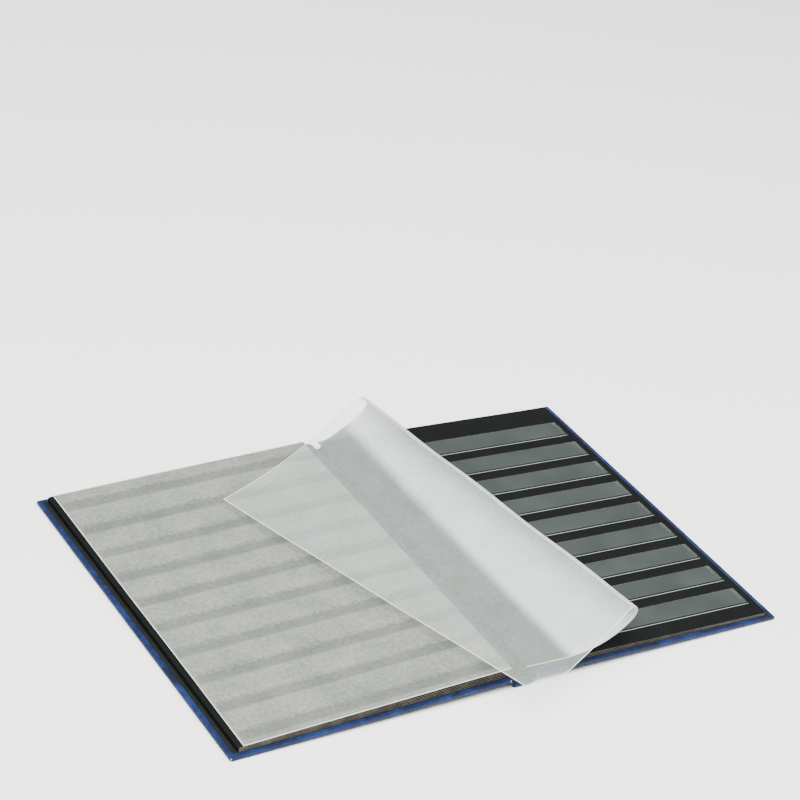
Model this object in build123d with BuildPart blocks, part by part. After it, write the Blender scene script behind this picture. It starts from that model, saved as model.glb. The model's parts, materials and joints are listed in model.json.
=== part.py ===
# Hard-cover stamp stockbook, lying open with its spine on the table, in millimetres.
# X runs to the right, Y towards the head of the pages, Z up. The origin is on the table,
# under the middle of the spine board. Left of the spine lies the front half, right of it
# the back half. Each half is drawn in its own plane through its hinge line.

import os
from math import atan2, cos, degrees, radians, sin

from build123d import *

# Case
COVER_WIDTH = 225.0        # hinge line to fore-edge
COVER_HEIGHT = 305.0
HINGE_HEIGHT = 5.0         # height of both hinge lines over the table
JOINT_GAP = 2.0            # hinge line to the board's inner edge
SKIN = 0.25                # leatherette
BOARD = 2.0                # grey board
TURN_IN = 14.0             # leatherette folded over the board's inner face
PAPER = 0.2                # endpaper
ENDPAPER_INSET = 4.0
CORNER = 1.5
SPINE_CORNER = 1.2
SPINE_EASE = 0.6           # spine's extra width over the closed stack
SPINE_SHORT = 3.0          # spine board narrower than the spine, for the joints
LINING_SHORT = 1.0         # lining narrower than the spine board
JOINT_SHORT = 1.0          # joint flap short of the cover at head and tail
JOINT_CLEAR = 0.05         # spine leatherette to the joint flap
JOINT_LAP = 0.1            # joint flap short of the cover's inner edge
JOINT_FOOT = 0.5
JOINT_THICK = 0.4

# Leaves
LEAVES_LEFT = 5
LEAVES_RIGHT = 3
CARD = 0.4                 # black card
PITCH_GUTTER = 1.55        # leaf spacing at the gutter, where the linen guards are
PITCH_EDGE = 0.8           # leaf spacing at the fore-edge
LEAF_INSET = 1.0           # hinge line to a leaf's inner edge
LEAF_WIDTH = 217.0
LEAF_HEIGHT = 297.0
LEAF_CORNER = 1.0

# Clear strips
STRIPS = 9
STRIP_LENGTH = 203.0
STRIP_HEIGHT = 20.0
STRIP_PITCH = 30.0
STRIP_TOP = 125.5          # head edge of the first strip
STRIP_OUTER = 6.0          # leaf's outer edge to the strips' ends
FILM = 0.08

# Glassine interleaves and linen guards
GLASSINE = 0.04
SHEET_WIDTH = 213.0
SHEET_HEIGHT = 296.0       # of the sheets between leaves
SHEET_GAP = 0.03
GUARD = 0.3
GUARD_SPACING = 1.4
GUARD_HEIGHT = 290.0
GUARD_LIFT = 0.1           # lining to a guard's foot
GUARD_TIP = 0.2            # guard's tip to the leaf's inner edge

# Turned sheet: a roll along a slanting ridge, and the free flap beyond it
RIDGE_X = 54.0
RIDGE_ANGLE = -9.5         # from +Y, towards +X
RIDGE_REACH = 150.0        # along the ridge from the middle to head and tail
ROLL_RADIUS = 19.6
ROLL_LENGTH = 303.0
ROLL_TAIL = 157.0          # roll's length on the tail side of y = 0
PLATE_THICK = 3.0          # stretch between the gutter and the roll
PLATE_LIFT = 0.3           # strips to the stretch's underside
PLATE_START = 0.5          # leaf's inner edge to the stretch's inner edge
ROLL_LIFT = 1.0            # stretch's underside to the roll
FLAP_SLOPE = 13.0
FLAP_THICK = 1.2
ROLL_CLEAR = 0.6
FLAP_OUTLINE = [(0, 140), (141, 117), (92, -174), (0, -157)]

# Gold decoration
FOIL = 0.05
RULE_WIDTH = 1.3
RULE_SPACING = 3.6
RULE_FROM_HINGE = 62.0
BAND_WIDTH = 1.2
BAND_SPACING = 3.6
BAND_PAIRS = 5
BAND_PITCH = 66.5
EMBLEM_FROM_HINGE = 178.0
EMBLEM_FROM_TAIL = 62.0
EMBLEM_WIDTH = 38.0
EMBLEM_HEIGHT = 28.5
EMBLEM_CORE_WIDTH = 20.9
EMBLEM_CORE_HEIGHT = 11.4
EMBLEM_FRAME = 1.5         # width of the emblem's outer frame
FOIL_SHORT = 0.5           # rules' ends to the cover's head and tail

# Worked out
INSIDE = 2 * SKIN + BOARD + PAPER
STACK_LEFT = INSIDE + LEAVES_LEFT * PITCH_GUTTER
STACK_RIGHT = INSIDE + LEAVES_RIGHT * PITCH_GUTTER
SPINE_WIDTH = STACK_LEFT + STACK_RIGHT + SPINE_EASE
SPINE_BOARD_WIDTH = SPINE_WIDTH - SPINE_SHORT
TILT = degrees(atan2(HINGE_HEIGHT, COVER_WIDTH))
LEFT = -1
RIGHT = 1


def tilted_plane(side, tilt, x, z):
    """Plane whose local x still runs to the right, sinking outwards by tilt degrees."""
    t = radians(tilt)
    return Plane(
        origin=(x, 0, z),
        x_dir=(cos(t), 0, -side * sin(t)),
        z_dir=(side * sin(t), 0, cos(t)),
    )


def cover_plane(side, lift=0.0):
    """Plane of one cover's outer face through its hinge line, raised by lift."""
    return tilted_plane(side, TILT, side * SPINE_WIDTH / 2, HINGE_HEIGHT).offset(lift)


def leaf_plane(side, place):
    """Mid plane of the leaf that is place-th above the cover; origin at its inner edge."""
    height = INSIDE + (place - 0.5) * PITCH_GUTTER
    fan = degrees(atan2((place - 0.5) * (PITCH_GUTTER - PITCH_EDGE), LEAF_WIDTH))
    edge = cover_plane(side).from_local_coords((side * LEAF_INSET, 0, height))
    return tilted_plane(side, TILT + fan, edge.X, edge.Z)


def save(part, name):
    part.label = name
    export_step(part, f"parts/{name}.step")


def slab(plane, side, start, width, height, thick, corner=0.0):
    """Flat plate from start to start + width, measured outwards along the plane."""
    with BuildPart() as plate:
        with BuildSketch(plane):
            with Locations((side * (start + width / 2), 0)):
                if corner:
                    RectangleRounded(width, height, corner)
                else:
                    Rectangle(width, height)
        extrude(amount=thick)
    return plate.part


def make_cover(side, name):
    """Grey board, leatherette with its turn-ins, and black endpaper of one cover."""
    board_start = JOINT_GAP + SKIN
    board_width = COVER_WIDTH - JOINT_GAP - 2 * SKIN
    board_height = COVER_HEIGHT - 2 * SKIN
    width = COVER_WIDTH - JOINT_GAP
    board = slab(cover_plane(side, SKIN), side, board_start, board_width, board_height, BOARD)
    save(board, f"{name}_board")

    with BuildPart() as skin:
        with BuildSketch(cover_plane(side)):
            with Locations((side * (JOINT_GAP + width / 2), 0)):
                RectangleRounded(width, COVER_HEIGHT, CORNER)
        extrude(amount=BOARD + 2 * SKIN)
        with BuildSketch(cover_plane(side, SKIN)):
            with Locations((side * (board_start + board_width / 2), 0)):
                Rectangle(board_width, board_height)
        extrude(amount=BOARD, mode=Mode.SUBTRACT)
        with BuildSketch(cover_plane(side, SKIN + BOARD)):
            with Locations((side * (JOINT_GAP + width / 2), 0)):
                Rectangle(width - 2 * TURN_IN, COVER_HEIGHT - 2 * TURN_IN)
        extrude(amount=SKIN, mode=Mode.SUBTRACT)
    save(skin.part, f"{name}_leatherette")

    paper_width = width - ENDPAPER_INSET
    paper_height = COVER_HEIGHT - 2 * ENDPAPER_INSET
    plane = cover_plane(side, BOARD + 2 * SKIN)
    save(slab(plane, side, JOINT_GAP, paper_width, paper_height, PAPER), f"{name}_endpaper")


def spine_band_sketch():
    """Five pairs of short bands across the spine, drawn in the open sketch."""
    for i in range(BAND_PAIRS):
        middle = (i - (BAND_PAIRS - 1) / 2) * BAND_PITCH
        with Locations((0, middle - BAND_SPACING / 2), (0, middle + BAND_SPACING / 2)):
            Rectangle(SPINE_BOARD_WIDTH, BAND_WIDTH)


def make_spine():
    """Spine board, its leatherette and the lining that holds the linen guards."""
    height = COVER_HEIGHT - 2 * SKIN
    with BuildPart() as skin:
        with BuildSketch(Plane.XY):
            RectangleRounded(SPINE_BOARD_WIDTH + 2 * SKIN, COVER_HEIGHT, SPINE_CORNER)
        extrude(amount=BOARD + 2 * SKIN)
        with BuildSketch(Plane.XY.offset(SKIN)):
            Rectangle(SPINE_BOARD_WIDTH, height)
        extrude(amount=BOARD + SKIN, mode=Mode.SUBTRACT)
        with BuildSketch(Plane.XY):
            spine_band_sketch()
        extrude(amount=FOIL, mode=Mode.SUBTRACT)
    save(skin.part, "spine_leatherette")

    with BuildPart() as bands:
        with BuildSketch(Plane.XY):
            spine_band_sketch()
        extrude(amount=FOIL)
    save(bands.part, "spine_bands")

    with BuildPart() as board:
        with BuildSketch(Plane.XY.offset(SKIN)):
            Rectangle(SPINE_BOARD_WIDTH, height)
        extrude(amount=BOARD)
    save(board.part, "spine_board")

    with BuildPart() as lining:
        with BuildSketch(Plane.XY.offset(SKIN + BOARD)):
            Rectangle(SPINE_BOARD_WIDTH - LINING_SHORT, LEAF_HEIGHT)
        extrude(amount=SKIN)
    save(lining.part, "spine_lining")


def make_joint(side, name):
    """Flexible leatherette flap from the spine's edge up to the cover's inner edge."""
    inner = side * (SPINE_BOARD_WIDTH / 2 + SKIN + JOINT_CLEAR)
    top = cover_plane(side).from_local_coords((side * (JOINT_GAP - JOINT_LAP), 0, BOARD / 2))
    low = BOARD / 2
    with BuildPart() as flap:
        with BuildSketch(Plane.XZ.offset(-COVER_HEIGHT / 2 + JOINT_SHORT)):
            with BuildLine():
                Polyline(
                    (inner, low),
                    (inner + side * JOINT_FOOT, low),
                    (top.X, top.Z),
                    (top.X - side * JOINT_FOOT, top.Z + JOINT_THICK),
                    (inner, low + 2 * JOINT_FOOT),
                    close=True,
                )
            make_face()
        extrude(amount=COVER_HEIGHT - 2 * JOINT_SHORT)
    save(flap.part, f"{name}_joint")


def make_strips(plane, side, lift, name):
    """Nine clear pocket strips on one page."""
    centre = side * (LEAF_WIDTH - STRIP_OUTER - STRIP_LENGTH / 2)
    first = STRIP_TOP - STRIP_HEIGHT / 2
    with BuildPart() as strips:
        with BuildSketch(plane.offset(lift)):
            with Locations([(centre, first - i * STRIP_PITCH) for i in range(STRIPS)]):
                Rectangle(STRIP_LENGTH, STRIP_HEIGHT)
        extrude(amount=FILM)
    save(strips.part, name)


def make_leaf(side, place, number):
    """Black card leaf with strips on both sides and its linen guard."""
    plane = leaf_plane(side, place)
    card = slab(plane.offset(-CARD / 2), side, 0, LEAF_WIDTH, LEAF_HEIGHT, CARD, LEAF_CORNER)
    save(card, f"leaf_{number}")
    upper, lower = ("verso", "recto") if side == LEFT else ("recto", "verso")
    make_strips(plane, side, CARD / 2, f"leaf_{number}_{upper}_strips")
    make_strips(plane, side, -CARD / 2 - FILM, f"leaf_{number}_{lower}_strips")

    foot_x = (number - (LEAVES_LEFT + LEAVES_RIGHT + 1) / 2) * GUARD_SPACING
    foot_z = 2 * SKIN + BOARD + GUARD_LIFT
    tip = plane.from_local_coords((-side * GUARD_TIP, 0, 0))
    with BuildPart() as guard:
        with BuildSketch(Plane.XZ.offset(-GUARD_HEIGHT / 2)):
            with BuildLine():
                Polyline(
                    (foot_x - GUARD / 2, foot_z),
                    (foot_x + GUARD / 2, foot_z),
                    (tip.X, tip.Z - side * GUARD / 2),
                    (tip.X, tip.Z + side * GUARD / 2),
                    close=True,
                )
            make_face()
        extrude(amount=GUARD_HEIGHT)
    save(guard.part, f"leaf_{number}_guard")


def make_sheets(side, place, name):
    """Two glassine sheets in the gap under a leaf."""
    plane = leaf_plane(side, place)
    with BuildPart() as sheets:
        for i in range(2):
            lift = -CARD / 2 - FILM - (i + 1) * (SHEET_GAP + GLASSINE)
            with BuildSketch(plane.offset(lift)):
                with Locations((side * SHEET_WIDTH / 2, 0)):
                    Rectangle(SHEET_WIDTH, SHEET_HEIGHT)
            extrude(amount=GLASSINE)
    save(sheets.part, name)


def make_turned_sheet():
    """Glassine sheet that lies on the right page and rolls back over to the left."""
    page = leaf_plane(RIGHT, LEAVES_RIGHT).offset(CARD / 2 + FILM + PLATE_LIFT)
    centre_height = page.origin.Z + ROLL_LIFT + ROLL_RADIUS
    a = radians(RIDGE_ANGLE)
    along = Vector(sin(a), cos(a), 0)
    head_x = RIDGE_X + RIDGE_REACH * sin(a)
    tail_x = RIDGE_X - RIDGE_REACH * sin(a)
    shift = page.origin.X
    axis = Plane(
        origin=Vector(RIDGE_X, 0, centre_height) - along * ROLL_TAIL,
        x_dir=(cos(a), -sin(a), 0),
        z_dir=along,
    )
    with BuildPart() as base:
        with BuildSketch(page):
            with BuildLine():
                Polyline(
                    (PLATE_START, -LEAF_HEIGHT / 2),
                    (tail_x - shift, -LEAF_HEIGHT / 2),
                    (head_x - shift, LEAF_HEIGHT / 2),
                    (PLATE_START, LEAF_HEIGHT / 2),
                    close=True,
                )
            make_face()
        extrude(amount=PLATE_THICK)
        with BuildSketch(axis):
            Circle(ROLL_RADIUS)
        extrude(amount=ROLL_LENGTH)
    save(base.part, "turned_interleaf_base")

    s = radians(FLAP_SLOPE)
    reach = ROLL_RADIUS + ROLL_CLEAR
    level = Vector(-cos(a), sin(a), 0)
    up = level * sin(s) + Vector(0, 0, cos(s))
    down_slope = level * cos(s) - Vector(0, 0, sin(s))
    plane = Plane(
        origin=Vector(RIDGE_X, 0, centre_height) + up * reach,
        x_dir=down_slope,
        z_dir=up,
    )
    with BuildPart() as flap:
        with BuildSketch(plane):
            with BuildLine():
                Polyline(*[(x, -y) for x, y in FLAP_OUTLINE], close=True)
            make_face()
        extrude(amount=FLAP_THICK)
    save(flap.part, "turned_interleaf_flap")


def make_foil():
    """Gold double rule and emblem on the front cover's outer face."""
    outside = cover_plane(LEFT, -FOIL)
    with BuildPart() as rules:
        with BuildSketch(outside):
            with Locations([(-RULE_FROM_HINGE - i * RULE_SPACING, 0) for i in range(2)]):
                Rectangle(RULE_WIDTH, COVER_HEIGHT - 2 * FOIL_SHORT)
        extrude(amount=FOIL)
    save(rules.part, "front_cover_rules")

    with BuildPart() as emblem:
        with BuildSketch(outside):
            with Locations((-EMBLEM_FROM_HINGE, -COVER_HEIGHT / 2 + EMBLEM_FROM_TAIL)):
                Rectangle(EMBLEM_WIDTH, EMBLEM_HEIGHT)
                Rectangle(
                    EMBLEM_WIDTH - 2 * EMBLEM_FRAME,
                    EMBLEM_HEIGHT - 2 * EMBLEM_FRAME,
                    mode=Mode.SUBTRACT,
                )
                Rectangle(EMBLEM_CORE_WIDTH, EMBLEM_CORE_HEIGHT)
        extrude(amount=FOIL)
    save(emblem.part, "front_cover_emblem")


def main():
    os.makedirs("parts", exist_ok=True)
    make_cover(LEFT, "front")
    make_cover(RIGHT, "back")
    make_spine()
    make_joint(LEFT, "front")
    make_joint(RIGHT, "back")
    total = LEAVES_LEFT + LEAVES_RIGHT
    for place in range(1, LEAVES_LEFT + 1):
        make_leaf(LEFT, place, place)
        if place > 1:
            make_sheets(LEFT, place, f"interleaves_{place - 1}_{place}")
    for place in range(1, LEAVES_RIGHT + 1):
        number = total + 1 - place
        make_leaf(RIGHT, place, number)
        if place > 1:
            make_sheets(RIGHT, place, f"interleaves_{number}_{number + 1}")
    top = leaf_plane(LEFT, LEAVES_LEFT).offset(CARD / 2 + FILM + SHEET_GAP)
    save(slab(top, LEFT, 0, SHEET_WIDTH, LEAF_HEIGHT, GLASSINE), "left_interleaf")
    make_turned_sheet()
    make_foil()


main()
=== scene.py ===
import json
from math import atan2, cos, pi, radians, sin

import bpy
import numpy as np
from bpy.props import FloatProperty, FloatVectorProperty, IntProperty, PointerProperty
from mathutils import Matrix, Vector


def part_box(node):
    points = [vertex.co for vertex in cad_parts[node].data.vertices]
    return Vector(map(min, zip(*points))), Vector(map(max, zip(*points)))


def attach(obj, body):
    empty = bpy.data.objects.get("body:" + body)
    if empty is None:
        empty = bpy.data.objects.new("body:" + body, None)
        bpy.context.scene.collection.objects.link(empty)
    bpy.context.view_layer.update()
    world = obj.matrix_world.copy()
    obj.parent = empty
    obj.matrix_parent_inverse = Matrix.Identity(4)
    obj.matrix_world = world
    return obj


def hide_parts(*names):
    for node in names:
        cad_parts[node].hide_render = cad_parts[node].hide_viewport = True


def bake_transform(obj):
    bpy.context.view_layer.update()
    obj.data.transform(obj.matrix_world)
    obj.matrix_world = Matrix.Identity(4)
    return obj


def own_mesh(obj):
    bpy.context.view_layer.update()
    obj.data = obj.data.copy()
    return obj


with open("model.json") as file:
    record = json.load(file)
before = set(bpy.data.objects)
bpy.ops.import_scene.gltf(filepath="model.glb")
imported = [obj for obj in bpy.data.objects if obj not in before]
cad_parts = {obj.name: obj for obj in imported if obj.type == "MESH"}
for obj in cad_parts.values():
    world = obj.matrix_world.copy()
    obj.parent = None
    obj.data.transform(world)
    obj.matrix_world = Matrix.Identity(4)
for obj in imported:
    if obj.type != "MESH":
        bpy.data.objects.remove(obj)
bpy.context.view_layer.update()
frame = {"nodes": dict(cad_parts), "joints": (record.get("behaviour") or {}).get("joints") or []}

bl_info = {
    "name": "Stamp Stockbook",
    "version": (1, 0, 0),
    "blender": (4, 5, 0),
    "location": "View3D > Sidebar > Stockbook",
    "description": "Cover, leaves, pocket strips and glassine of an open stamp stockbook",
    "category": "Add Mesh",
}

MM = 0.001
JOINTS = {joint["name"]: joint for joint in frame["joints"]}
LEFT_LEAVES = (1, 2, 3, 4, 5)
RIGHT_LEAVES = (8, 7, 6)
TOP_LEFT = LEFT_LEAVES[-1]
TOP_RIGHT = RIGHT_LEAVES[-1]
CLOSING_TURN = radians(JOINTS["front_cover_hinge"]["range_deg"][1])
COVER_TILT = CLOSING_TURN - pi / 2

# thicknesses
CARD_THICK = 0.4 * MM
FILM_THICK = 0.08 * MM
FILM_DRAWN = 0.6  # share of the film's thickness that is drawn
COVER_THICK = 2.5 * MM
GUARD_THICK = 0.25 * MM

# case, measured outwards from a cover's hinge line
COVER_START = 2 * MM
COVER_END = 225 * MM
JOINT_FOOT = (0.6 * MM, 0.55 * MM)  # in from the spine's edge, and over the table
JOINT_TIP = (2.6 * MM, 1.2 * MM)  # out along the cover, and over its outer face
JOINT_SHORT = 0.4 * MM
EMBLEM_SHARE = 0.98
FOIL_LEVELS = (-0.05 * MM, 0.02 * MM)

# guards
GUARD_FOOT = np.array([0.15 * MM, 0.02 * MM])  # out from its CAD corner, and up
GUARD_LAP = 0.1 * MM
GUARD_RISE = 0.75  # share of the height that a guard climbs before it turns out
GUARD_REACH = 0.45  # share of the width over which it lies along the leaf

# heights of film and paper over the card
FILM_CLEAR = 0.05 * MM
FLAT_BULGE = 0.01 * MM
LEFT_SHEET_CLEAR = 0.13 * MM
TURNED_CLEAR = 0.6 * MM
WAVE_HEIGHT = 0.35 * MM

# turned sheet
TURNED_START = 3 * MM
BOUND_RUN = 22 * MM  # from the gutter, where the sheet is held down
SECTION_LENGTH = 340 * MM
SECTION_STEPS = 3400
RELAX_RUN = 150 * MM
RELAX_MOST = 1.5
RIPPLE_HEIGHT = 0.5 * MM
RIPPLE_LENGTH = 110 * MM
RIPPLE_PHASE = 1.1
RIPPLE_RISE = 30 * MM

# studio: each lamp's name, place, diameter and share of the key power
LAMPS = (
    ("key_light", (-0.7, -0.5, 2.2), 2.4, 1.0),
    ("fill_light", (1.6, -0.6, 1.8), 2.0, 0.3),
)
SQUARE = ((-1, -1), (1, -1), (1, 1), (-1, 1))  # corners, anticlockwise
FLOOR_HALF = 4.0
FLOOR_DROP = 0.2 * MM

# marks drawn in the materials
WELD_WIDTH = 0.55 * MM
# painted shade along a pocket strip's crease, over its weld
CREASE_SHADE_WIDTH = 1.9 * MM
CUT_DEPTH = 0.05 * MM
THREAD_PITCH = 0.8 * MM
BAND_RAGGED = 8 * MM
BAND_SOFT = 3 * MM


# ---------------------------------------------------------------- places

class Slope:
    """A plane that starts at a line along Y and sinks outwards to one side.

    at(u, v, w) is origin + u * outwards + v * Y + w * normal, for whole arrays.
    """

    def __init__(self, origin, side, tilt):
        self.origin = np.array(origin, float)
        self.side = side
        self.out = np.array([side * cos(tilt), 0, -sin(tilt)])
        self.up = np.array([side * sin(tilt), 0, cos(tilt)])
        self.along = np.array([0.0, 1.0, 0.0])

    def at(self, u, v, w=0.0):
        u, v, w = np.broadcast_arrays(*(np.asarray(x, float) for x in (u, v, w)))
        return (
            self.origin
            + u[..., None] * self.out
            + v[..., None] * self.along
            + w[..., None] * self.up
        )


def cover_slope(side):
    """Outer face of one cover, from its hinge line outwards."""
    hinge = JOINTS["spine_hinge" if side > 0 else "front_cover_hinge"]["pos_m"]
    return Slope(hinge, side, COVER_TILT)


def leaf_slope(number):
    """Mid plane of one leaf, from its inner edge outwards."""
    side = -1 if number in LEFT_LEAVES else 1
    hinge = JOINTS[f"leaf_{number}_lift"]["pos_m"]
    low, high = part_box(f"leaf_{number}")
    outer = high.x if side > 0 else low.x
    drop = hinge[2] - (low.z + CARD_THICK / 2)
    return Slope(hinge, side, atan2(drop, abs(outer - hinge[0])))


# ---------------------------------------------------------------- meshes

def linear(colour):
    """sRGB hex such as "#1b2f66" to linear RGBA."""
    value = np.array([int(colour[i:i + 2], 16) for i in (1, 3, 5)]) / 255
    line = np.where(value <= 0.04045, value / 12.92, ((value + 0.055) / 1.055) ** 2.4)
    return (*line.tolist(), 1.0)


def new_mesh(name, points, faces, flat=None, smooth=True):
    """Object with these vertices and faces, at the origin. flat gives each vertex its
    place on the unrolled sheet in metres, kept as the UV map. smooth is for all faces or
    says for each."""
    mesh = bpy.data.meshes.new(name)
    mesh.from_pydata(points.reshape(-1, 3), [], faces)
    mesh.polygons.foreach_set("use_smooth", np.full(len(faces), smooth))
    if flat is not None:
        layer = mesh.uv_layers.new(name="flat")
        corner = np.zeros(len(mesh.loops), np.int32)
        mesh.loops.foreach_get("vertex_index", corner)
        layer.data.foreach_set("uv", flat.reshape(-1, 2)[corner].astype(np.float32).ravel())
    mesh.update()
    piece = bpy.data.objects.new(name, mesh)
    bpy.context.scene.collection.objects.link(piece)
    return piece


def quads(index, turned=False):
    """Quads between the neighbours of an (n, m) array of vertex numbers."""
    a, b, c, d = index[:-1, :-1], index[1:, :-1], index[1:, 1:], index[:-1, 1:]
    order = (a, d, c, b) if turned else (a, b, c, d)
    return np.stack(order, -1).reshape(-1, 4)


def wrap(index):
    """Rings of vertex numbers, each closed by its own first number."""
    return np.concatenate([index, index[:, :1]], axis=1)


def smooth(x):
    """Smooth step from 0 to 1 for x from 0 to 1."""
    return x * x * (3 - 2 * x)


def shell_faces(n, m):
    """Faces of a closed shell of two (n, m) grids, top first, joined by a rim, and which of
    them are smooth: all but the rim."""
    top = np.arange(n * m).reshape(n, m)
    low = top + n * m
    sides = [quads(top), quads(low, turned=True)]
    rim = [
        quads(np.stack([low[edge], top[edge]]))
        for edge in (np.s_[0], np.s_[:, -1], np.s_[-1, ::-1], np.s_[::-1, 0])
    ]
    faces = np.concatenate(sides + rim)
    in_side = np.arange(len(faces)) < 2 * len(sides[0])
    return faces, in_side


def sheet_mesh(name, middle, thick, flat):
    """Thin closed sheet: the middle surface moved half its thickness each way along its
    normal, which is the cross product of the surface's two gradients."""
    across = np.gradient(middle, axis=0)
    down = np.gradient(middle, axis=1)
    normal = np.cross(across, down)
    normal /= np.linalg.norm(normal, axis=-1, keepdims=True)
    points = np.stack([middle + normal * thick / 2, middle - normal * thick / 2])
    faces, in_side = shell_faces(*middle.shape[:2])
    return new_mesh(name, points, faces.tolist(), np.stack([flat, flat]), in_side)


def ribbon_mesh(name, outline, start, end, steps):
    """Closed outline in X and Z, (k, 2), carried along Y from start to end."""
    x, z = outline.T
    y = np.linspace(start, end, steps)[:, None]
    points = np.stack(np.broadcast_arrays(x, y, z), -1)
    clockwise = np.sum(x * np.roll(z, -1) - np.roll(x, -1) * z) < 0
    index = np.arange(points[..., 0].size).reshape(steps, -1)
    ends = (index[0, ::-1], index[-1]) if clockwise else (index[0], index[-1, ::-1])
    faces = quads(wrap(index), turned=clockwise).tolist()
    return new_mesh(name, points, faces + [end.tolist() for end in ends])


def band_outline(line, thick):
    """Closed outline of a band of this thickness about a line of (k, 2) points."""
    run = np.gradient(line, axis=0)
    normal = np.stack([-run[:, 1], run[:, 0]], 1) / np.linalg.norm(run, axis=1)[:, None]
    return np.concatenate([line + normal * thick / 2, (line - normal * thick / 2)[::-1]])


def rounded_outline(width, height, radius, steps=6):
    """Rectangle with round corners about the origin, anticlockwise, (n, 2)."""
    turn = np.linspace(0, pi / 2, steps)
    centres = [(1, 1), (-1, 1), (-1, -1), (1, -1)]
    parts = [
        np.stack([
            x * (width / 2 - radius) + radius * np.cos(turn + quarter * pi / 2),
            y * (height / 2 - radius) + radius * np.sin(turn + quarter * pi / 2),
        ], 1)
        for quarter, (x, y) in enumerate(centres)
    ]
    return np.concatenate(parts)


def plate_mesh(name, slope, middle, width, height, thick, corner, edge):
    """Flat plate with rounded edges, lying on a slope. Ring by ring, with a from 0 to a right
    angle, the outline is smaller by edge * (1 - sin a) at the height edge * (1 - cos a), then
    by edge * (1 - cos a) at edge * (1 - sin a) under the upper face."""
    arc = np.linspace(0, pi / 2, 5)
    by_sine, by_cosine = edge * (1 - np.sin(arc)), edge * (1 - np.cos(arc))
    inset = np.concatenate([by_sine, by_cosine])
    level = np.concatenate([by_cosine, thick - by_sine])
    rings = []
    for shrink, lift in zip(inset, level):
        ring = rounded_outline(width - 2 * shrink, height - 2 * shrink, corner)
        rings.append(slope.at(slope.side * ring[:, 0] + middle, ring[:, 1], lift))
    points = np.array(rings)
    index = np.arange(points[..., 0].size).reshape(len(rings), -1)
    faces = quads(wrap(index), turned=True).tolist()
    flat_faces = [index[0, ::-1].tolist(), index[-1].tolist()]
    edge_only = [True] * len(faces) + [False] * len(flat_faces)
    return new_mesh(name, points, faces + flat_faces, smooth=edge_only)


def dress(piece, body, slot, material, *nodes):
    """Gives a new piece its material, body and the CAD nodes it stands for. slot is not used."""
    piece.data.materials.append(material)
    if body:
        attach(piece, body)
    if nodes:
        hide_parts(*nodes)
    return piece


def paint_nodes(names, material):
    """A better material for CAD nodes whose shape stays."""
    for name in names:
        node = frame["nodes"][name]
        if not node.material_slots:
            node.data.materials.append(material)
        for part in node.material_slots:
            part.material = material


# ---------------------------------------------------------------- materials

def feed(tree, node, inputs):
    """Gives a node's inputs their values or links, by socket name or number."""
    for key, value in inputs.items():
        if isinstance(value, bpy.types.NodeSocket):
            tree.links.new(value, node.inputs[key])
        else:
            node.inputs[key].default_value = value


def add(tree, kind, settings=None, inputs=None):
    """One node: settings are its properties, inputs its values or links."""
    node = tree.nodes.new(kind)
    for key, value in (settings or {}).items():
        setattr(node, key, value)
    feed(tree, node, inputs or {})
    return node


def new_material(name):
    """Empty material with its shader; returns material, tree and shader."""
    material = bpy.data.materials.new(name)
    material.use_nodes = True
    tree = material.node_tree
    tree.nodes.clear()
    shader = add(tree, "ShaderNodeBsdfPrincipled")
    output = add(tree, "ShaderNodeOutputMaterial")
    tree.links.new(shader.outputs["BSDF"], output.inputs["Surface"])
    return material, tree, shader


def ramp(tree, factor, *stops):
    """Colour ramp over a factor; stops are (place, hex colour)."""
    node = add(tree, "ShaderNodeValToRGB", inputs={"Fac": factor})
    elements = node.color_ramp.elements
    while len(elements) < len(stops):
        elements.new(0.5)
    for element, (place, colour) in zip(elements, stops):
        element.position = place
        element.color = linear(colour)
    return node.outputs["Color"]


def noise(tree, vector, grain, detail=3.0, rough=0.55, distortion=0.0):
    """Noise whose blobs are about grain metres across."""
    return add(tree, "ShaderNodeTexNoise", inputs={
        "Vector": vector, "Scale": 1 / grain, "Detail": detail, "Roughness": rough,
        "Distortion": distortion,
    }).outputs["Fac"]


def mix_colour(tree, factor, first, second, way="MIX"):
    """Two colours mixed; the second lies over the first by the factor."""
    settings = {"data_type": "RGBA", "blend_type": way}
    return add(tree, "ShaderNodeMix", settings, {0: factor, 6: first, 7: second}).outputs[2]


def reckon(tree, what, a, b=0.0, c=0.0):
    """One arithmetic step on numbers or sockets."""
    return add(tree, "ShaderNodeMath", {"operation": what}, {0: a, 1: b, 2: c}).outputs[0]


def step_up(tree, value, start, end):
    """0 below start and 1 above end, with a smooth step between."""
    return add(tree, "ShaderNodeMapRange", {"interpolation_type": "SMOOTHSTEP"}, {
        "Value": value, "From Min": start, "From Max": end,
    }).outputs["Result"]


def bump(tree, height, depth, strength):
    """Bump of this depth in metres."""
    values = {"Height": height, "Distance": depth, "Strength": strength}
    return add(tree, "ShaderNodeBump", inputs=values).outputs["Normal"]


def place_on(tree, which="Object"):
    """A point's place on its piece, or "UV" for its place on the flat sheet."""
    return add(tree, "ShaderNodeTexCoord").outputs[which]


def axes_of(tree, vector):
    """X, Y and Z of a vector, by name."""
    return add(tree, "ShaderNodeSeparateXYZ", inputs={"Vector": vector}).outputs


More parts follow.
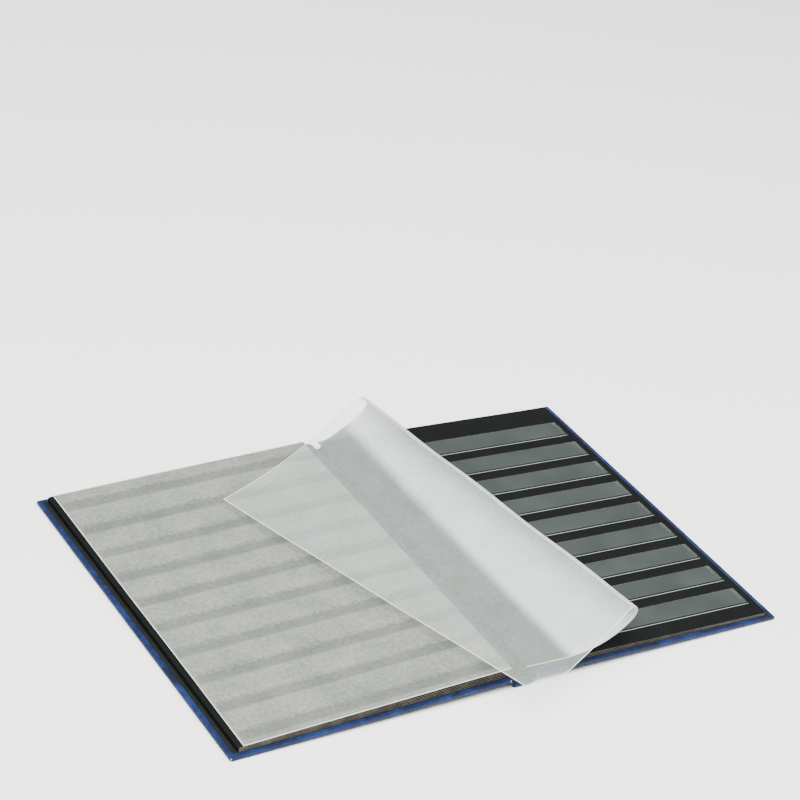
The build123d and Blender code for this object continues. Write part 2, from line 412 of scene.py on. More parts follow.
def leatherette():
    """Bonded leather paper, printed with navy clouds on royal blue and embossed with a fine
    pebble grain under a thin lacquer: the eye gets soft mottling and a low even gloss."""
    look = bpy.context.scene.stockbook_case
    material, tree, shader = new_material("navy_marbled_leatherette")
    place = place_on(tree)
    clouds = noise(tree, place, look.cloud_size, detail=4, rough=0.62, distortion=0.6)
    specks = noise(tree, place, look.cloud_size / 5, rough=0.7)
    base = ramp(tree, clouds, (0.34, "#0b152e"), (0.5, "#101f43"), (0.66, "#162c56"))
    speckled = ramp(tree, specks, (0.35, "#b4bccb"), (0.6, "#ffffff"))
    grain = add(tree, "ShaderNodeTexVoronoi", {"feature": "SMOOTH_F1"}, {
        "Vector": place, "Scale": 1 / look.grain_size, "Smoothness": 0.4,
    }).outputs["Distance"]
    feed(tree, shader, {
        "Base Color": mix_colour(tree, 0.8, base, speckled, "MULTIPLY"),
        "Roughness": reckon(tree, "MULTIPLY_ADD", specks, 0.18, 0.42),
        "Normal": bump(tree, grain, depth=0.06 * MM, strength=0.5),
        "IOR": 1.5,
        "Specular IOR Level": 0.22,
    })
    return material


def gold_foil():
    """Hot-stamped pale gold foil on leatherette: satin metal, a little broken by the grain."""
    material, tree, shader = new_material("pale_gold_stamping_foil")
    worn = noise(tree, place_on(tree), grain=0.5 * MM, rough=0.6)
    feed(tree, shader, {
        "Base Color": ramp(tree, worn, (0.3, "#b9a878"), (0.6, "#dccfa4")),
        "Roughness": reckon(tree, "MULTIPLY_ADD", worn, 0.25, 0.26),
        "Normal": bump(tree, worn, depth=0.02 * MM, strength=0.4),
        "Metallic": 0.85,
    })
    return material


def grey_board():
    """Grey binder's board of recycled pulp: dull, with paler and darker fibres."""
    material, tree, shader = new_material("grey_binders_board")
    fibres = noise(tree, place_on(tree), grain=1.2 * MM, detail=5, rough=0.7)
    feed(tree, shader, {
        "Base Color": ramp(tree, fibres, (0.3, "#77736a"), (0.7, "#a39f94")),
        "Normal": bump(tree, fibres, depth=0.05 * MM, strength=0.5),
        "Roughness": 0.9,
    })
    return material


def black_paper():
    """Dyed black endpaper, calendered: dull black with a faint cloudy formation."""
    material, tree, shader = new_material("black_endpaper")
    place = place_on(tree)
    cloud = noise(tree, place, grain=6 * MM, rough=0.6)
    tooth = noise(tree, place, grain=0.4 * MM, rough=0.6)
    feed(tree, shader, {
        "Base Color": ramp(tree, cloud, (0.3, "#10110f"), (0.7, "#181915")),
        "Normal": bump(tree, tooth, depth=0.02 * MM, strength=0.4),
        "Roughness": 0.75,
        "Specular IOR Level": 0.15,
    })
    return material


def black_card():
    """Dyed black page card with a slight greenish cast. Its cut edges at head and tail show
    paler pulp, so a stack of leaves reads as fine grey lines."""
    look = bpy.context.scene.stockbook_leaves
    material, tree, shader = new_material("black_page_card")
    place = place_on(tree)
    tooth = noise(tree, place, grain=0.6 * MM, rough=0.6)
    cloud = noise(tree, place, grain=14 * MM, detail=2, rough=0.5)
    pulp = noise(tree, place, grain=9 * MM, detail=2, rough=0.5)
    face = ramp(tree, cloud, (0.3, "#080b0a"), (0.7, "#0c0f0e"))
    cut = ramp(tree, pulp, (0.35, "#5a554c"), (0.65, "#6f6a5f"))
    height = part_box(f"leaf_{TOP_LEFT}")[1].y
    reach = reckon(tree, "ABSOLUTE", axes_of(tree, place)["Y"])
    edge = reckon(tree, "GREATER_THAN", reach, height - CUT_DEPTH)
    feed(tree, shader, {
        "Base Color": mix_colour(tree, edge, face, cut),
        "Normal": bump(tree, tooth, depth=0.02 * MM, strength=0.35),
        "Roughness": look.card_roughness,
        "Specular IOR Level": 0.09,
    })
    return material


def black_linen():
    """Black bookbinder's linen: a plain weave, with its threads drawn wide enough to show."""
    material, tree, shader = new_material("black_guard_linen")
    axes = axes_of(tree, place_on(tree))
    warp, weft = (
        reckon(tree, "SINE", reckon(tree, "MULTIPLY", axes[axis], 2 * pi / THREAD_PITCH))
        for axis in "YZ"
    )
    weave = reckon(tree, "MULTIPLY", warp, weft)
    level = reckon(tree, "MULTIPLY_ADD", weave, 0.5, 0.5)
    feed(tree, shader, {
        "Base Color": ramp(tree, level, (0.2, "#101110"), (0.8, "#272825")),
        "Normal": bump(tree, weave, depth=0.08 * MM, strength=0.6),
        "Roughness": 0.8,
    })
    return material


def clear_film(name, rough, gloss, welded=False):
    """Clear cast polypropylene strip: a faint grey haze over the black card under a sharp
    gloss. welded draws the paler weld along a strip's lower edge and, over it, painted shade along the
    crease."""
    material, tree, shader = new_material(name)
    streaks = noise(tree, place_on(tree), grain=40 * MM, detail=2, rough=0.5)
    colour = ramp(tree, streaks, (0.3, "#3b4140"), (0.7, "#464d4b"))
    if welded:
        up = axes_of(tree, place_on(tree, "UV"))["Y"]
        # The dark line is painted shade along the crease; the paler line is the weld's own colour.
        for width, tint in ((CREASE_SHADE_WIDTH, "#0c0f10"), (WELD_WIDTH, "#a4adae")):
            colour = mix_colour(tree, reckon(tree, "LESS_THAN", up, width), colour, linear(tint))
    feed(tree, shader, {
        "Base Color": colour,
        "Alpha": 0.55,
        "Roughness": rough,
        "IOR": 1.49,
        "Specular IOR Level": gloss,
    })
    return material


def glassine(name, cover, tints, size=None, banded=False, pressed=False):
    """Glassine: supercalendered beaten-pulp paper, greenish white and see-through, with
    mottled formation about 3 mm across under broader clouds. Where it lies on a page
    (banded), the dark gaps between the strips show through it with soft edges. Where it is
    pressed to the black page near the gutter (pressed), a dark tint is painted in: the page
    seen through it, and painted shade where it gets no light from beneath. size is the flat
    sheet's width and height, for the painted highlight along its cut edges, where light
    comes through the paper's edge."""
    look = bpy.context.scene.stockbook_glassine
    material, tree, shader = new_material(name)
    flat = place_on(tree, "UV")
    mottle = noise(tree, flat, look.mottle_size, detail=5, rough=0.68, distortion=0.3)
    broad = noise(tree, flat, look.mottle_size * 9, detail=2, rough=0.5)
    both = reckon(tree, "MULTIPLY_ADD", broad, 0.35, reckon(tree, "MULTIPLY", mottle, 0.65))
    colour = ramp(tree, both, (0.4, tints[0]), (0.6, tints[1]))
    if banded:
        colour = page_bands(tree, flat, colour, mottle)
    # Painted shade: a dark tint where the sheet lies on the black page. It fades where the sheet stands
    # clear, and comes back a little where the roll turns away from the light.
    if pressed:
        lift_and_painted_shade = add(tree, "ShaderNodeAttribute", {"attribute_name": "lift_and_painted_shade"}).outputs["Fac"]
        dark = ramp(tree, both, (0.4, "#1a201e"), (0.6, "#2e3533"))
        colour = mix_colour(tree, lift_and_painted_shade, dark, colour)
    # Painted highlight along the cut edges: near white, with more cover.
    if size:
        edge = painted_edge_highlight(tree, flat, size)
        colour = mix_colour(tree, edge, colour, linear("#f2f4f0"))
        cover = reckon(tree, "MULTIPLY_ADD", edge, look.edge_highlight_cover - cover, cover)
    feed(tree, shader, {
        "Base Color": colour,
        "Normal": bump(tree, mottle, depth=0.03 * MM, strength=0.35),
        "Alpha": cover,
        "Roughness": 0.42,
        "IOR": 1.45,
        "Specular IOR Level": 0.35,
    })
    return material


def painted_edge_highlight(tree, flat, size):
    """Mask of the painted highlight where light comes through the paper's cut edges: 1 along the free
    edge and the head and tail edges of a flat sheet, 0 elsewhere.
    """
    look = bpy.context.scene.stockbook_glassine
    axes = axes_of(tree, flat)
    reach = reckon(tree, "ABSOLUTE", axes["Y"])
    free = reckon(tree, "GREATER_THAN", axes["X"], size[0] - look.lit_edge)
    ends = reckon(tree, "GREATER_THAN", reach, size[1] / 2 - look.lit_edge)
    return reckon(tree, "MAXIMUM", free, ends)


def page_bands(tree, flat, colour, mottle):
    """Darker soft bands over the gaps between strips: with y the distance below the first
    strip's upper edge, the gap's depth is a smooth step either side of y modulo the pitch."""
    look = bpy.context.scene.stockbook_leaves
    axes = axes_of(tree, flat)
    ragged = reckon(tree, "MULTIPLY_ADD", mottle, BAND_RAGGED, -BAND_RAGGED / 2)
    height = reckon(tree, "ADD", axes["Y"], ragged)
    below = reckon(tree, "SUBTRACT", look.first_strip, height)
    within = reckon(tree, "FLOORED_MODULO", below, look.strip_pitch)
    strip, pitch = look.strip_height, look.strip_pitch
    start = step_up(tree, within, strip - BAND_SOFT, strip + BAND_SOFT / 2)
    end = step_up(tree, within, pitch - BAND_SOFT / 2, pitch)
    gap = reckon(tree, "SUBTRACT", start, end)
    outer = reckon(tree, "LESS_THAN", axes["X"], look.strip_inset + look.strip_length)
    dark = reckon(tree, "MULTIPLY", gap, reckon(tree, "MULTIPLY", outer, look.band_depth))
    return mix_colour(tree, dark, colour, linear("#4a504b"))


# ---------------------------------------------------------------- settings

class CaseSettings(bpy.types.PropertyGroup):
    corner_radius: FloatProperty(
        name="Corner radius", description="Radius of the covers' corners",
        default=1.6 * MM, unit="LENGTH")
    edge_radius: FloatProperty(
        name="Edge radius", description="Rounding where the leatherette turns over the board",
        default=0.8 * MM, unit="LENGTH")
    skin_thickness: FloatProperty(
        name="Leatherette", description="Thickness of the leatherette at the joints",
        default=0.5 * MM, unit="LENGTH")
    cloud_size: FloatProperty(
        name="Cloud size", description="Width of the marbled clouds",
        default=16 * MM, unit="LENGTH")
    grain_size: FloatProperty(
        name="Grain size", description="Embossed grain, drawn coarse enough to show",
        default=0.9 * MM, unit="LENGTH")


class LeafSettings(bpy.types.PropertyGroup):
    strip_count: IntProperty(
        name="Strips", description="Pocket strips on one page", default=9)
    strip_height: FloatProperty(
        name="Strip height", description="Height of one pocket strip",
        default=20 * MM, unit="LENGTH")
    strip_pitch: FloatProperty(
        name="Strip pitch", description="Distance from one strip to the next",
        default=30 * MM, unit="LENGTH")
    first_strip: FloatProperty(
        name="First strip", description="Upper edge of the first strip above mid page",
        default=125.5 * MM, unit="LENGTH")
    strip_length: FloatProperty(
        name="Strip length", description="Length of one pocket strip",
        default=203 * MM, unit="LENGTH")
    strip_inset: FloatProperty(
        name="Strip inset", description="Gutter edge of the leaf to the strips' inner ends",
        default=8 * MM, unit="LENGTH")
    strip_bulge: FloatProperty(
        name="Strip bulge", description="How far an open pocket's film stands off the page",
        default=0.3 * MM, unit="LENGTH")
    leaf_sheet_width: FloatProperty(
        name="Glassine width", description="Width of the glassine sheet on a page",
        default=213 * MM, unit="LENGTH")
    leaf_sheet_height: FloatProperty(
        name="Glassine height", description="Head to tail of the glassine sheet on a page",
        default=297 * MM, unit="LENGTH")
    band_depth: FloatProperty(
        name="Band depth", description="How strongly the gaps between strips show through glassine",
        default=0.4, subtype="FACTOR")
    card_roughness: FloatProperty(
        name="Card roughness", description="Roughness of the black page card",
        default=0.75, subtype="FACTOR")


class GlassineSettings(bpy.types.PropertyGroup):
    mottle_size: FloatProperty(
        name="Mottle size", description="Width of the clouds in the glassine's formation",
        default=3.2 * MM, unit="LENGTH")
    thickness: FloatProperty(
        name="Thickness",
        description="Thickness of a glassine sheet, thicker than real to keep its faces apart",
        default=0.1 * MM, unit="LENGTH")
    # Width and cover of the painted highlight along the glassine's cut edges.
    lit_edge: FloatProperty(
        name="Lit edge", description="Bright cut edge of a sheet, drawn wide enough to show",
        default=0.7 * MM, unit="LENGTH")
    edge_highlight_cover: FloatProperty(
        name="Edge cover", description="How much one face of the cut edge hides",
        default=0.6, subtype="FACTOR")
    turned_width: FloatProperty(
        name="Turned sheet width", description="Gutter to free edge of the turned sheet, laid flat",
        default=225 * MM, unit="LENGTH")
    turned_height: FloatProperty(
        name="Turned sheet height", description="Head to tail of the turned sheet",
        default=297 * MM, unit="LENGTH")
    fold_place: FloatProperty(
        name="Fold place", description="Where the fold's reference line crosses the middle of the page",
        default=29.1 * MM, unit="LENGTH")
    fold_angle: FloatProperty(
        name="Fold angle", description="Turn of the fold from the spine's direction",
        default=radians(-9.51), subtype="ANGLE")
    lift_start: FloatProperty(
        name="Lift start", description="Where the sheet leaves the page, measured from the fold's line",
        default=-23.4 * MM, unit="LENGTH")
    lift_angle: FloatProperty(
        name="Lift angle", description="How steep the sheet is when the tight curl begins",
        default=radians(56.4), subtype="ANGLE")
    lift_run: FloatProperty(
        name="Lift run", description="Length over which the sheet rises to the lift angle",
        default=65.8 * MM, unit="LENGTH")
    curl_radius: FloatProperty(
        name="Curl radius", description="Radius of the tight curl", default=10.65 * MM, unit="LENGTH")
    past_level: FloatProperty(
        name="Past level", description="How far the curl goes on beyond level, so the flap slopes down",
        default=radians(23.3), subtype="ANGLE")
    # clear_head, clear_tail and clear_soft only place the painted shade of the turned sheet's bound
    # strip.
    clear_head: FloatProperty(
        name="Clear at head", description="Width of the strip that is bound down, at the head",
        default=27 * MM, unit="LENGTH")
    clear_tail: FloatProperty(
        name="Clear at tail", description="Width of the strip that is bound down, at the tail",
        default=39 * MM, unit="LENGTH")
    clear_soft: FloatProperty(
        name="Clear edge", description="Width over which the sheet lifts clear of the page",
        default=13 * MM, unit="LENGTH")
    roll_shade: FloatProperty(
        name="Roll shade", description="Shading of the roll near the flap",
        default=0.3, subtype="FACTOR")
    relax: FloatProperty(
        name="Relax", description="How much of that slope the flap loses over 150 mm",
        default=radians(21.3), subtype="ANGLE")


class StudioSettings(bpy.types.PropertyGroup):
    azimuth: FloatProperty(
        name="Azimuth", description="Camera's direction round the book",
        default=radians(-37.79), subtype="ANGLE")
    elevation: FloatProperty(
        name="Elevation", description="Camera's height over the table",
        default=radians(30.71), subtype="ANGLE")
    roll: FloatProperty(
        name="Roll", description="Camera's turn about its own axis",
        default=radians(11.615), subtype="ANGLE")
    distance: FloatProperty(
        name="Distance", description="Camera to the point it looks at", default=1.9169, unit="LENGTH")
    target: FloatVectorProperty(
        name="Target", description="Point on the table in the middle of the view",
        default=(0.1154, 0.2000, 0.0), subtype="XYZ_LENGTH")
    lens: FloatProperty(
        name="Lens", description="Focal length on a 36 mm square sensor, in mm", default=103.92)
    key_power: FloatProperty(
        name="Key power", description="Power of the large light over the book, in watts", default=200.0)
    world_light: FloatProperty(
        name="Surround", description="Brightness of the white surround", default=0.58)


# ---------------------------------------------------------------- builders

class STOCKBOOK_OT_studio(bpy.types.Operator):
    """Camera, white surround, large soft lights and a pale floor"""
    bl_idname = "stockbook.studio"
    bl_label = "Studio"

    def execute(self, context):
        look = context.scene.stockbook_studio
        around, above = look.azimuth, look.elevation
        back = Vector((sin(around) * cos(above), -cos(around) * cos(above), sin(above)))
        right = (-back).cross(Vector((0, 0, 1))).normalized()
        up = right.cross(-back)
        turned = right * cos(look.roll) + up * sin(look.roll)
        upright = -right * sin(look.roll) + up * cos(look.roll)
        data = bpy.data.cameras.new("camera")
        data.lens = look.lens
        data.sensor_width = 36
        data.clip_end = 20
        camera = bpy.data.objects.new("camera", data)
        camera.matrix_world = Matrix.Translation(
            Vector(look.target) + back * look.distance
        ) @ Matrix((turned, upright, back)).transposed().to_4x4()
        context.scene.collection.objects.link(camera)
        context.scene.camera = camera

        for name, place, size, share in LAMPS:
            self.light(name, place, size, look.key_power * share, context)
        world = bpy.data.worlds.new("white_surround")
        world.use_nodes = True
        surround = world.node_tree.nodes["Background"]
        feed(world.node_tree, surround, {"Color": (1, 1, 1, 1), "Strength": look.world_light})
        context.scene.world = world

        corners = [(x * FLOOR_HALF, y * FLOOR_HALF, -FLOOR_DROP) for x, y in SQUARE]
        floor = new_mesh("floor", np.array(corners), [(0, 1, 2, 3)], smooth=False)
        material, tree, shader = new_material("white_studio_floor")
        feed(tree, shader, {"Base Color": linear("#f4f4f2"), "Roughness": 0.9})
        floor.data.materials.append(material)
        return {"FINISHED"}

    def light(self, name, place, size, power, context):
        data = bpy.data.lights.new(name, "AREA")
        data.shape = "DISK"
        data.size = size
        data.energy = power
        lamp = bpy.data.objects.new(name, data)
        lamp.location = place
        lamp.rotation_euler = (-Vector(place)).to_track_quat("-Z", "Y").to_euler()
        context.scene.collection.objects.link(lamp)


class STOCKBOOK_OT_case(bpy.types.Operator):
    """Front and back covers in leatherette with rounded edges, joints, boards and endpapers"""
    bl_idname = "stockbook.case"
    bl_label = "Case"

    def execute(self, context):
        look = context.scene.stockbook_case
        blue = leatherette()
        for side, name, body in ((-1, "front", "front_half"), (1, "back", "back_half")):
            slope = cover_slope(side)
            low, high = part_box(f"{name}_leatherette")
            cover = plate_mesh(
                f"{name}_cover_leatherette", slope,
                (COVER_START + COVER_END) / 2, COVER_END - COVER_START, high.y - low.y,
                COVER_THICK, look.corner_radius, look.edge_radius,
            )
            dress(cover, body, "blue_leatherette", blue, f"{name}_leatherette")
            self.joint(side, name, look, blue)
        # The skin turns in over the ends of the spine's board.
        paint_nodes(["spine_leatherette", "spine_board"], blue)
        paint_nodes(["front_board", "back_board"], grey_board())
        paint_nodes(["front_endpaper", "back_endpaper"], black_paper())
        return {"FINISHED"}

    def joint(self, side, name, look, blue):
        """Leatherette hinge: an S line x = x0 + (x1 - x0) s, z = z0 + (z1 - z0) smoothstep(s),
        thickened to a band and carried from tail to head."""
        slope = cover_slope(side)
        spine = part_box("spine_leatherette")[1]
        start = np.array([side * (spine.x - JOINT_FOOT[0]), JOINT_FOOT[1]])
        end = slope.at(JOINT_TIP[0], 0, JOINT_TIP[1])[[0, 2]]
        s = np.linspace(0, 1, 14)
        line = start + (end - start) * np.stack([s, smooth(s)], 1)
        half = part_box(f"{name}_leatherette")[1].y - JOINT_SHORT
        outline = band_outline(line, look.skin_thickness)
        piece = ribbon_mesh(f"{name}_joint_leatherette", outline, -half, half, 40)
        dress(piece, None, "blue_leatherette", blue, f"{name}_joint")
        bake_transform(piece)


class STOCKBOOK_OT_foil(bpy.types.Operator):
    """Gold rules, spine bands and a plain perforated stamp outline on the front cover"""
    bl_idname = "stockbook.foil"
    bl_label = "Gold foil"

    def execute(self, context):
        gold = gold_foil()
        paint_nodes(["spine_bands", "front_cover_rules"], gold)
        low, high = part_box("front_cover_emblem")
        slope = cover_slope(-1)
        middle = abs((low.x + high.x) / 2 - slope.origin[0]) / cos(COVER_TILT)
        centre = (low.y + high.y) / 2
        width, height = (high.x - low.x) * EMBLEM_SHARE, (high.y - low.y) * EMBLEM_SHARE
        # width, height, bites on one side, their depth, width of the line
        rings = (
            (width, height, 10, 1.1 * MM, 1.0 * MM),
            (width * 0.72, height * 0.64, 0, 0.0, 0.7 * MM),
            (width * 0.60, height * 0.48, 0, 0.0, 0.35 * MM),
        )
        points = []
        faces = []
        for ring in rings:
            part, part_faces = self.ring(slope, middle, centre, *ring)
            faces += (part_faces + sum(map(len, points))).tolist()
            points.append(part)
        emblem = new_mesh("front_cover_stamp_outline", np.concatenate(points), faces, smooth=False)
        dress(emblem, "front_half", "gold_foil", gold, "front_cover_emblem")
        return {"FINISHED"}

    def ring(self, slope, middle, centre, width, height, teeth, depth, line):
        """Flat closed ring round a rectangle. Its outer edge is pulled in by
        depth * |sin(pi * teeth * s)|, where s runs once along each side."""
        steps = 80 if teeth else 12
        s = np.linspace(0, 1, steps, endpoint=False)
        bite = depth * np.abs(np.sin(pi * teeth * s))
        quarter = np.array([[0, 1], [-1, 0]])
        sides = []
        for turn, (long, wide) in enumerate(((width, height), (height, width)) * 2):
            edge = np.stack([(s - 0.5) * long, bite - wide / 2], 1)
            sides.append(edge @ np.linalg.matrix_power(quarter, turn))
        outer = np.concatenate(sides)
        shrink = np.array([width / 2 - depth - line, height / 2 - depth - line])
        inner = np.clip(outer, -shrink, shrink)
        loops = [
            slope.at(middle + x, centre + y, level)
            for level in FOIL_LEVELS for x, y in (outer.T, inner.T)
        ]
        index = np.arange(4 * len(outer)).reshape(4, -1)
        return np.concatenate(loops), quads(wrap(index[[0, 1, 3, 2, 0]]), turned=True)


class STOCKBOOK_OT_leaves(bpy.types.Operator):
    """Black card leaves with their clear pocket strips"""
    bl_idname = "stockbook.leaves"
    bl_label = "Leaves and strips"

    def execute(self, context):
        look = context.scene.stockbook_leaves
        numbers = LEFT_LEAVES + RIGHT_LEAVES
        paint_nodes([f"leaf_{n}" for n in numbers], black_card())
        shown = {(TOP_LEFT, "verso"), (TOP_RIGHT, "recto")}
        hidden = [
            f"leaf_{n}_{page}_strips" for n in numbers for page in ("recto", "verso")
            if (n, page) not in shown
        ]
        paint_nodes(hidden, clear_film("clear_film_under_leaves", rough=0.2, gloss=0.5))
        film = clear_film("clear_pocket_film", rough=0.16, gloss=0.4, welded=True)
        for number, page in sorted(shown):
            bulge = look.strip_bulge if number == TOP_RIGHT else FLAT_BULGE
            self.strips(number, page, look, bulge, film)
        return {"FINISHED"}

    def strips(self, number, page, look, bulge, film):
        """Each strip is a film whose height over the card is a flat weld at its lower edge, then
        bulge * sin(0.86 pi t)^0.6 over the pocket, with a slow wave along its length and a
        quick rise from its ends."""
        slope = leaf_slope(number)
        u = np.linspace(0, 1, 40)[:, None]
        t = np.array([[0, 0.02, 0.035, 0.05, 0.075, 0.11, 0.2, 0.35, 0.5, 0.65, 0.8, 0.9, 0.96, 1]])
        weld = 0.05
        pocket = np.clip((t - weld) / (1 - weld), 0, 1)
        swell = np.sin(pi * pocket * 0.86) ** 0.6
        ends = np.sin(pi * np.clip(u, 0.01, 0.99)) ** 0.15
        one_faces, one_smooth = shell_faces(u.size, t.size)
        base = CARD_THICK / 2 + FILM_CLEAR
        points = []
        faces = []
        flats = []
        for i in range(look.strip_count):
            wave = 1 + 0.35 * np.sin(2 * pi * (1.3 * u + 0.37 * i)) * np.sin(pi * u)
            lift = bulge * swell * wave * ends
            tail = look.first_strip - look.strip_height - i * look.strip_pitch
            across, rise = np.broadcast_arrays(
                look.strip_inset + u * look.strip_length, t * look.strip_height
            )
            pair = [
                slope.at(across, tail + rise, base + lift + thick)
                for thick in (FILM_THICK * FILM_DRAWN, 0)
            ]
            if slope.side < 0:
                pair.reverse()
            faces.append(one_faces + i * 2 * u.size * t.size)
            points.append(np.stack(pair).reshape(-1, 3))
            flats.append(np.stack([np.stack([across, rise], -1)] * 2).reshape(-1, 2))
        piece = new_mesh(
            f"leaf_{number}_{page}_pocket_strips", np.concatenate(points),
            np.concatenate(faces).tolist(), np.concatenate(flats),
            np.tile(one_smooth, look.strip_count),
        )
        dress(piece, f"leaf_{number}_body", "clear_film", film, f"leaf_{number}_{page}_strips")


class STOCKBOOK_OT_guards(bpy.types.Operator):
    """Linen guards that hinge each leaf to the spine lining"""
    bl_idname = "stockbook.guards"
    bl_label = "Linen guards"

    def execute(self, context):
        linen = black_linen()
        paint_nodes(["spine_lining"], linen)
        for number in LEFT_LEAVES + RIGHT_LEAVES:
            self.guard(number, linen)
        return {"FINISHED"}

    def guard(self, number, linen):
        """Bowed strip from the lining to the leaf: a cubic curve that leaves the lining upwards
        and meets the leaf along its slope."""
        low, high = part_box(f"leaf_{number}_guard")
        slope = leaf_slope(number)
        inner_x = high.x if slope.side < 0 else low.x
        foot = np.array([inner_x, low.z]) + GUARD_FOOT * (slope.side, 1)
        tip = slope.at(-GUARD_LAP, 0, 0)[[0, 2]]
        rise = foot + (0, (tip[1] - foot[1]) * GUARD_RISE)
        reach = tip - slope.out[[0, 2]] * abs(tip[0] - foot[0]) * GUARD_REACH
        s = np.linspace(0, 1, 18)[:, None]
        line = (
            foot * (1 - s) ** 3 + 3 * rise * s * (1 - s) ** 2
            + 3 * reach * s * s * (1 - s) + tip * s ** 3
        )
        outline = band_outline(line, GUARD_THICK)
        piece = ribbon_mesh(f"leaf_{number}_linen_guard", outline, low.y, high.y, 30)
        dress(piece, None, "black_linen", linen, f"leaf_{number}_guard")
        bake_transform(piece)


class STOCKBOOK_OT_flat_glassine(bpy.types.Operator):
    """Glassine sheets that lie flat on the pages"""
    bl_idname = "stockbook.flat_glassine"
    bl_label = "Flat glassine"

    def execute(self, context):
        look = context.scene.stockbook_glassine
        inner = [name for name in frame["nodes"] if name.startswith("interleaves_")]
        paint_nodes(inner, glassine("glassine_between_leaves", 0.5, ("#c4cbc5", "#d8ded8")))
        slope = leaf_slope(TOP_LEFT)
        leaves = context.scene.stockbook_leaves
        width, height = leaves.leaf_sheet_width, leaves.leaf_sheet_height
        # From the free edge inwards, because outwards the sheet would face down.
        u = np.linspace(0, width, 90)[::-1, None]
        v = np.linspace(-height / 2, height / 2, 120)[None, :]
        clear = CARD_THICK / 2 + FILM_THICK + LEFT_SHEET_CLEAR
        middle = slope.at(u, v, clear + self.waves(u, v, width, height))
        flat = np.stack(np.broadcast_arrays(u, v), -1)
        piece = sheet_mesh("left_glassine_sheet", middle, look.thickness, flat)
        tints = ("#8b9088", "#a9ada5")
        material = glassine("glassine_on_left_page", 0.4, tints, (width, height), banded=True)
        dress(piece, f"leaf_{TOP_LEFT}_body", "glassine", material, "left_interleaf")
        return {"FINISHED"}

    def waves(self, u, v, width, height):
        """Low waves of a paper that lies loose: two crossed sines that die away at the gutter."""
        free = np.clip(u / (0.4 * width), 0, 1)
        first = np.sin(2 * pi * (v / height * 1.6 + u / width * 0.5) + 0.6)
        second = np.sin(2 * pi * (u / width * 1.1 - v / height * 0.7))
        return WAVE_HEIGHT * free * (1 + 0.6 * first + 0.4 * second)


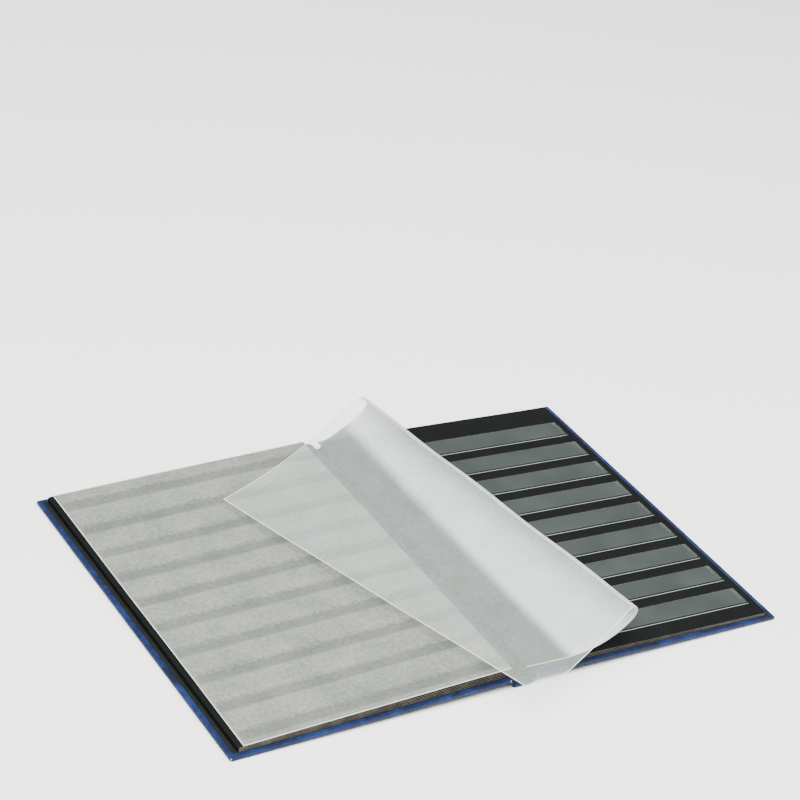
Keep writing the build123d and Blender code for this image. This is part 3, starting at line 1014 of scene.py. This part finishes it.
class STOCKBOOK_OT_turned_glassine(bpy.types.Operator):
    """The glassine sheet of the right page, rolled up and turned back to the left"""
    bl_idname = "stockbook.turned_glassine"
    bl_label = "Turned glassine"

    def execute(self, context):
        self.look = look = context.scene.stockbook_glassine
        self.page = leaf_slope(TOP_RIGHT)
        self.make_profile()
        whole = (look.turned_width, look.turned_height)
        roll = glassine("turned_glassine_roll", 0.72, ("#ccd5ce", "#e6eee8"), whole, pressed=True)
        free = glassine("turned_glassine_flap", 0.14, ("#bcc8c0", "#d6e0d9"), whole)
        half = look.turned_height / 2
        v = np.linspace(-half, half, 110)[None, :]
        split = self.across_at(self.top_run, v)
        s = np.linspace(0, 1, 90)[:, None]
        base = self.piece("turned_glassine_base", s * split, v)
        # Paints shade into the base piece: dark where it is pressed to the page, and a little darker
        # where the roll turns away from the light.
        self.mark_lift_and_painted_shade(base, s * split, v)
        flap = self.piece("turned_glassine_flap", split + s * (look.turned_width - split), v)

        dress(base, f"leaf_{TOP_RIGHT}_body", "glassine", roll, "turned_interleaf_base")
        dress(flap, "turned_flap", "glassine", free, "turned_interleaf_flap")
        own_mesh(base)
        mid_height = np.zeros((1, 1))
        ridge = self.surface(self.across_at(self.top_run, mid_height), mid_height)[0, 0]
        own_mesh(flap)
        return {"FINISHED"}

    def make_profile(self):
        """Section of the sheet square to the fold. Its tangent angle grows as t^1.5 over the
        lift, then at 1 / curl radius, then eases off; the section is the running sum of the
        angle's cosine and sine over the length t."""
        look = self.look
        t = np.linspace(0, SECTION_LENGTH, SECTION_STEPS)
        curl = look.curl_radius * (pi + look.past_level - look.lift_angle)
        rising = look.lift_angle * (t / look.lift_run) ** 1.5
        curling = look.lift_angle + (t - look.lift_run) / look.curl_radius
        past = np.clip((t - look.lift_run - curl) / RELAX_RUN, 0, RELAX_MOST)
        easing = pi + look.past_level - look.relax * past
        angle = np.select([t < look.lift_run, t < look.lift_run + curl], [rising, curling], easing)
        step = t[1] - t[0]
        mid = (angle[1:] + angle[:-1]) / 2
        self.t = t
        self.run = np.concatenate([[0], np.cumsum(np.cos(mid)) * step])
        self.rise = np.concatenate([[0], np.cumsum(np.sin(mid)) * step])
        self.top_run = look.lift_start + look.lift_run + look.curl_radius * (pi - look.lift_angle)

    def across_at(self, d, v):
        """Distance from the gutter edge, on the flat sheet, of the line d past the fold."""
        angle = self.look.fold_angle
        return (d + v * sin(angle)) / cos(angle) + self.look.fold_place - TURNED_START

    def surface(self, u, v):
        """Points of the sheet: a flat-sheet point lies d past the fold's line and a along it;
        past the lift's start, d is replaced by the section's run and the height grows by its
        rise. Near the gutter the rise fades, because the sheet is bound there."""
        look = self.look
        u, v = np.broadcast_arrays(u, v)
        c, s = cos(look.fold_angle), sin(look.fold_angle)
        x = TURNED_START + u - look.fold_place
        d = x * c - v * s
        a = x * s + v * c
        t = np.clip(d - look.lift_start, 0, None)
        run = np.interp(t, self.t, self.run)
        rise = np.interp(t, self.t, self.rise)
        moved = np.where(t > 0, look.lift_start + run, d)
        bound = smooth(np.clip(u / BOUND_RUN, 0, 1))
        px = look.fold_place + moved * c + a * s
        py = -moved * s + a * c
        slope = -self.page.out[2] / self.page.out[0]
        ground = self.page.origin[2] - np.clip(px - self.page.origin[0], 0, None) * slope
        clear = CARD_THICK / 2 + FILM_THICK + TURNED_CLEAR
        ripple = RIPPLE_HEIGHT * np.sin(2 * pi * a / RIPPLE_LENGTH + RIPPLE_PHASE)
        ripple *= np.clip(rise / RIPPLE_RISE, 0, 1)
        return np.stack([px, py, ground + clear + rise * bound + ripple], -1)

    def piece(self, name, u, v):
        """One stretch of the sheet, from its places on the flat sheet."""
        flat = np.stack(np.broadcast_arrays(u, v), -1)
        return sheet_mesh(name, self.surface(u, v), self.look.thickness, flat)

    def mark_lift_and_painted_shade(self, piece, u, v):
        """Level of the painted shade on the base piece: a smooth step from 0, where the bound
        strip of the sheet is pressed to the page and painted dark, to 1 where it stands clear;
        the border runs from clear_head to clear_tail. It falls a little towards the flap, as
        painted shade where the roll turns away from the light below it."""
        look = self.look
        along = v / look.turned_height + 0.5
        border = look.clear_tail + (look.clear_head - look.clear_tail) * along
        near = smooth(np.clip((u - border) / look.clear_soft + 0.5, 0, 1))
        top = np.clip((u - u.max(axis=0)) / look.clear_soft / 2 + 1, 0, 1)
        near = near * (1 - look.roll_shade * top)
        mark = piece.data.attributes.new("lift_and_painted_shade", "FLOAT", "POINT")
        mark.data.foreach_set("value", np.stack([near, near]).astype(np.float32).ravel())


# ---------------------------------------------------------------- panel and main

BUILDERS = (
    STOCKBOOK_OT_studio,
    STOCKBOOK_OT_case,
    STOCKBOOK_OT_foil,
    STOCKBOOK_OT_leaves,
    STOCKBOOK_OT_guards,
    STOCKBOOK_OT_flat_glassine,
    STOCKBOOK_OT_turned_glassine,
)
SETTINGS = {
    "stockbook_case": CaseSettings,
    "stockbook_leaves": LeafSettings,
    "stockbook_glassine": GlassineSettings,
    "stockbook_studio": StudioSettings,
}


class STOCKBOOK_PT_panel(bpy.types.Panel):
    """Settings and builders of the stockbook"""
    bl_idname = "STOCKBOOK_PT_panel"
    bl_label = "Stamp stockbook"
    bl_space_type = "VIEW_3D"
    bl_region_type = "UI"
    bl_category = "Stockbook"

    def draw(self, context):
        for builder in BUILDERS:
            self.layout.operator(builder.bl_idname)
        for name, group in SETTINGS.items():
            column = self.layout.column()
            for key in group.__annotations__:
                column.prop(getattr(context.scene, name), key)


def register():
    for group in SETTINGS.values():
        bpy.utils.register_class(group)
    for builder in BUILDERS:
        bpy.utils.register_class(builder)
    bpy.utils.register_class(STOCKBOOK_PT_panel)
    for name, group in SETTINGS.items():
        setattr(bpy.types.Scene, name, PointerProperty(type=group))


def unregister():
    for name in SETTINGS:
        delattr(bpy.types.Scene, name)
    bpy.utils.unregister_class(STOCKBOOK_PT_panel)
    for builder in BUILDERS:
        bpy.utils.unregister_class(builder)
    for group in SETTINGS.values():
        bpy.utils.unregister_class(group)


def main():
    register()
    for builder in BUILDERS:
        family, action = builder.bl_idname.split(".")
        getattr(getattr(bpy.ops, family), action)()
    bpy.context.view_layer.update()


if __name__ == "__main__":
    main()
